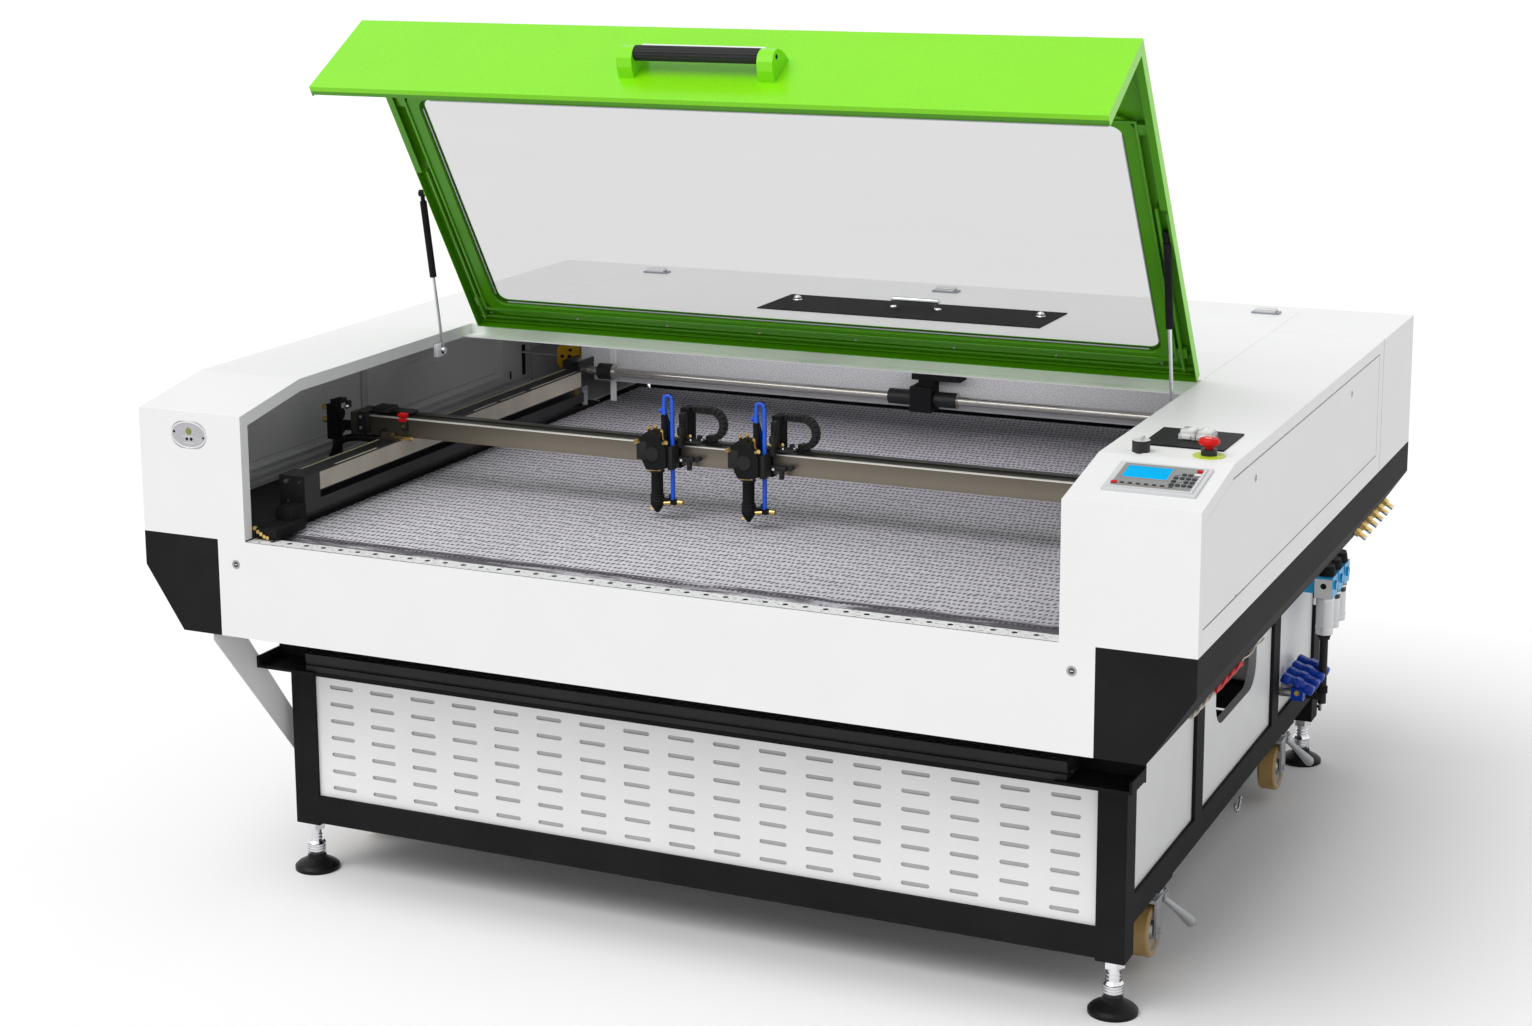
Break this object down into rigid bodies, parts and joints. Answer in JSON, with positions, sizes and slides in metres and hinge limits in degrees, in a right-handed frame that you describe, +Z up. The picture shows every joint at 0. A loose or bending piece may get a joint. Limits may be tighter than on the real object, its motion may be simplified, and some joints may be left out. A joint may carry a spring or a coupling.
{
  "type": "conveyor laser cutting machine",
  "caption": "Laser cutter with a belt table between two housings, a lift-up lid with window, a gantry with cutting heads and a welded base on feet and casters.",
  "frame": {"origin": "on the floor, in the middle of the body's width and depth", "axes": "X across the machine to its right as the operator faces it, Y from front to back, Z up"},
  "size_m": [2.3, 1.92, 1.8896],
  "materials": {
    "white_paint": "smooth powder coat",
    "grey_paint": "smooth powder coat",
    "black_paint": "matt powder coat",
    "lime_paint": "satin paint",
    "clear_pane": "clear",
    "belt_weave": "textured and perforated",
    "bright_steel": "ground",
    "chrome": "polished",
    "bronze_aluminium": "brushed, bronze tinted",
    "black_plastic": "moulded",
    "grey_plastic": "moulded",
    "red_plastic": "glossy",
    "yellow_paint": "satin",
    "yellow_plastic": "moulded",
    "amber_tread": "cast tread",
    "cast_grey": "zinc plated",
    "laser_glass": "clear",
    "silver_alloy": "satin"
  },
  "bodies": {
    "base": {"base_legs": "black_paint", "cross_beams": "black_paint", "side_beams": "black_paint", "slotted_panel": "white_paint", "window_panel": "grey_paint", "base_panels": "grey_paint", "levelling_feet": "chrome", "front_rail": "black_paint", "rail_brackets": "black_paint", "side_gusset": "white_paint", "left_housing": "white_paint", "right_housing": "white_paint", "rear_cabinet": "white_paint", "front_panel": "white_paint", "skirts": "black_paint", "hinge_rail": "silver_alloy", "rear_baffle": "grey_paint", "conveyor_belt": "belt_weave", "conveyor_bed": "grey_paint", "guide_rails": "black_paint", "conveyor_motor": "black_paint", "shaft_bearing": "black_paint", "laser_tube": "laser_glass", "corner_mirror": "yellow_paint", "control_panel": "grey_plastic", "port_plate": "black_plastic", "estop_base": "yellow_plastic", "indicator_window": "grey_plastic", "air_prep_unit": "silver_alloy", "air_lines": "black_plastic", "strut_mounts": "bright_steel"},
    "lid": {"lid_shell": "lime_paint", "lid_window": "clear_pane", "handle_ends": "lime_paint", "handle_grip": "black_plastic"},
    "left_rod": {"left_strut_rod": "chrome"},
    "left_tube": {"left_strut_tube": "black_paint"},
    "right_rod": {"right_strut_rod": "chrome"},
    "right_tube": {"right_strut_tube": "black_paint"},
    "gantry": {"gantry_beam": "bronze_aluminium", "beam_mirror": "black_paint"},
    "head_left": {"left_head": "black_paint"},
    "head_right": {"right_head": "black_paint"},
    "shaft": {"drive_shaft": "bright_steel"},
    "stop_button": {"estop_button": "red_plastic"},
    "key": {"key_switch": "black_plastic"},
    "cover": {"rear_cover": "white_paint", "rear_hatch": "black_paint"},
    "door_right": {"right_door": "white_paint"},
    "door_left": {"left_door": "white_paint"},
    "roller_front": {"front_roller": "bright_steel"},
    "roller_rear": {"rear_roller": "bright_steel"},
    "front_left_swivel": {"front_left_fork": "cast_grey"},
    "front_left_rolling": {"front_left_wheel": "amber_tread"},
    "front_right_swivel": {"front_right_fork": "cast_grey"},
    "front_right_rolling": {"front_right_wheel": "amber_tread"},
    "rear_left_swivel": {"rear_left_fork": "cast_grey"},
    "rear_left_rolling": {"rear_left_wheel": "amber_tread"},
    "rear_right_swivel": {"rear_right_fork": "cast_grey"},
    "rear_right_rolling": {"rear_right_wheel": "amber_tread"}
  },
  "joints": [
    {"name": "lid_hinge", "type": "hinge", "parent": "base", "child": "lid", "pos_m": [0, -0.005, 1.144], "axis": [1, 0, 0], "range_deg": [0, 57]},
    {"name": "left_rod_pivot", "type": "hinge", "parent": "base", "child": "left_rod", "pos_m": [-0.874, -0.168, 1.101], "axis": [1, 0, 0], "range_deg": [0, 73.05]},
    {"name": "left_tube_slide", "type": "slide", "parent": "left_rod", "child": "left_tube", "axis": [0, 0.1866, -0.9824], "range_m": [0, 0.1378]},
    {"name": "right_rod_pivot", "type": "hinge", "parent": "base", "child": "right_rod", "pos_m": [0.874, -0.168, 1.101], "axis": [1, 0, 0], "range_deg": [0, 73.05]},
    {"name": "right_tube_slide", "type": "slide", "parent": "right_rod", "child": "right_tube", "axis": [0, 0.1866, -0.9824], "range_m": [0, 0.1378]},
    {"name": "gantry_slide", "type": "slide", "parent": "base", "child": "gantry", "axis": [0, 1, 0], "range_m": [-0.4, 0.6]},
    {"name": "left_head_slide", "type": "slide", "parent": "gantry", "child": "head_left", "axis": [1, 0, 0], "range_m": [-0.6, 0.75]},
    {"name": "right_head_slide", "type": "slide", "parent": "gantry", "child": "head_right", "axis": [1, 0, 0], "range_m": [-0.6, 0.75]},
    {"name": "shaft_spin", "type": "hinge", "parent": "base", "child": "shaft", "pos_m": [0, 0.52, 0.93], "axis": [1, 0, 0], "range_deg": [-2000, 2000]},
    {"name": "front_roller_spin", "type": "hinge", "parent": "base", "child": "roller_front", "pos_m": [0, -0.854, 0.7657], "axis": [1, 0, 0], "continuous": true},
    {"name": "rear_roller_spin", "type": "hinge", "parent": "base", "child": "roller_rear", "pos_m": [0, 0.835, 0.7657], "axis": [1, 0, 0], "continuous": true},
    {"name": "stop_press", "type": "slide", "parent": "base", "child": "stop_button", "axis": [0, 0, 1], "range_m": [-0.005, 0], "stiffness_N_per_m": 400},
    {"name": "key_turn", "type": "hinge", "parent": "base", "child": "key", "pos_m": [0.965, -0.708, 1.15], "axis": [0, 0, 1], "range_deg": [-90, 0]},
    {"name": "cover_hinge", "type": "hinge", "parent": "base", "child": "cover", "pos_m": [0, 0.016, 1.137], "axis": [1, 0, 0], "range_deg": [0, 75]},
    {"name": "right_door_hinge", "type": "hinge", "parent": "base", "child": "door_right", "pos_m": [1.15, -0.16, 0.8766], "axis": [0, 1, 0], "range_deg": [0, 90]},
    {"name": "left_door_hinge", "type": "hinge", "parent": "base", "child": "door_left", "pos_m": [-1.15, -0.16, 0.8766], "axis": [0, -1, 0], "range_deg": [0, 90]},
    {"name": "front_left_swivel_turn", "type": "hinge", "parent": "base", "child": "front_left_swivel", "pos_m": [-0.925, -0.43, 0.17], "axis": [0, 0, 1], "continuous": true},
    {"name": "front_left_wheel_spin", "type": "hinge", "parent": "front_left_swivel", "child": "front_left_rolling", "pos_m": [-0.925, -0.46, 0.086], "axis": [1, 0, 0], "continuous": true},
    {"name": "front_right_swivel_turn", "type": "hinge", "parent": "base", "child": "front_right_swivel", "pos_m": [0.925, -0.43, 0.17], "axis": [0, 0, 1], "continuous": true},
    {"name": "front_right_wheel_spin", "type": "hinge", "parent": "front_right_swivel", "child": "front_right_rolling", "pos_m": [0.925, -0.46, 0.086], "axis": [1, 0, 0], "continuous": true},
    {"name": "rear_left_swivel_turn", "type": "hinge", "parent": "base", "child": "rear_left_swivel", "pos_m": [-0.925, 0.636, 0.17], "axis": [0, 0, 1], "continuous": true},
    {"name": "rear_left_wheel_spin", "type": "hinge", "parent": "rear_left_swivel", "child": "rear_left_rolling", "pos_m": [-0.925, 0.606, 0.086], "axis": [1, 0, 0], "continuous": true},
    {"name": "rear_right_swivel_turn", "type": "hinge", "parent": "base", "child": "rear_right_swivel", "pos_m": [0.925, 0.636, 0.17], "axis": [0, 0, 1], "continuous": true},
    {"name": "rear_right_wheel_spin", "type": "hinge", "parent": "rear_right_swivel", "child": "rear_right_rolling", "pos_m": [0.925, 0.606, 0.086], "axis": [1, 0, 0], "continuous": true}
  ],
  "couplings": [
    {"joint": "left_rod_pivot", "follows": "lid_hinge", "ratio": 1.2728},
    {"joint": "left_tube_slide", "follows": "lid_hinge", "m_per_rad": 0.13803},
    {"joint": "right_rod_pivot", "follows": "lid_hinge", "ratio": 1.2728},
    {"joint": "right_tube_slide", "follows": "lid_hinge", "m_per_rad": 0.13803},
    {"joint": "right_head_slide", "follows": "left_head_slide", "ratio": 1},
    {"joint": "shaft_spin", "follows": "gantry_slide", "rad_per_m": 50},
    {"joint": "rear_roller_spin", "follows": "front_roller_spin", "ratio": 1}
  ]
}
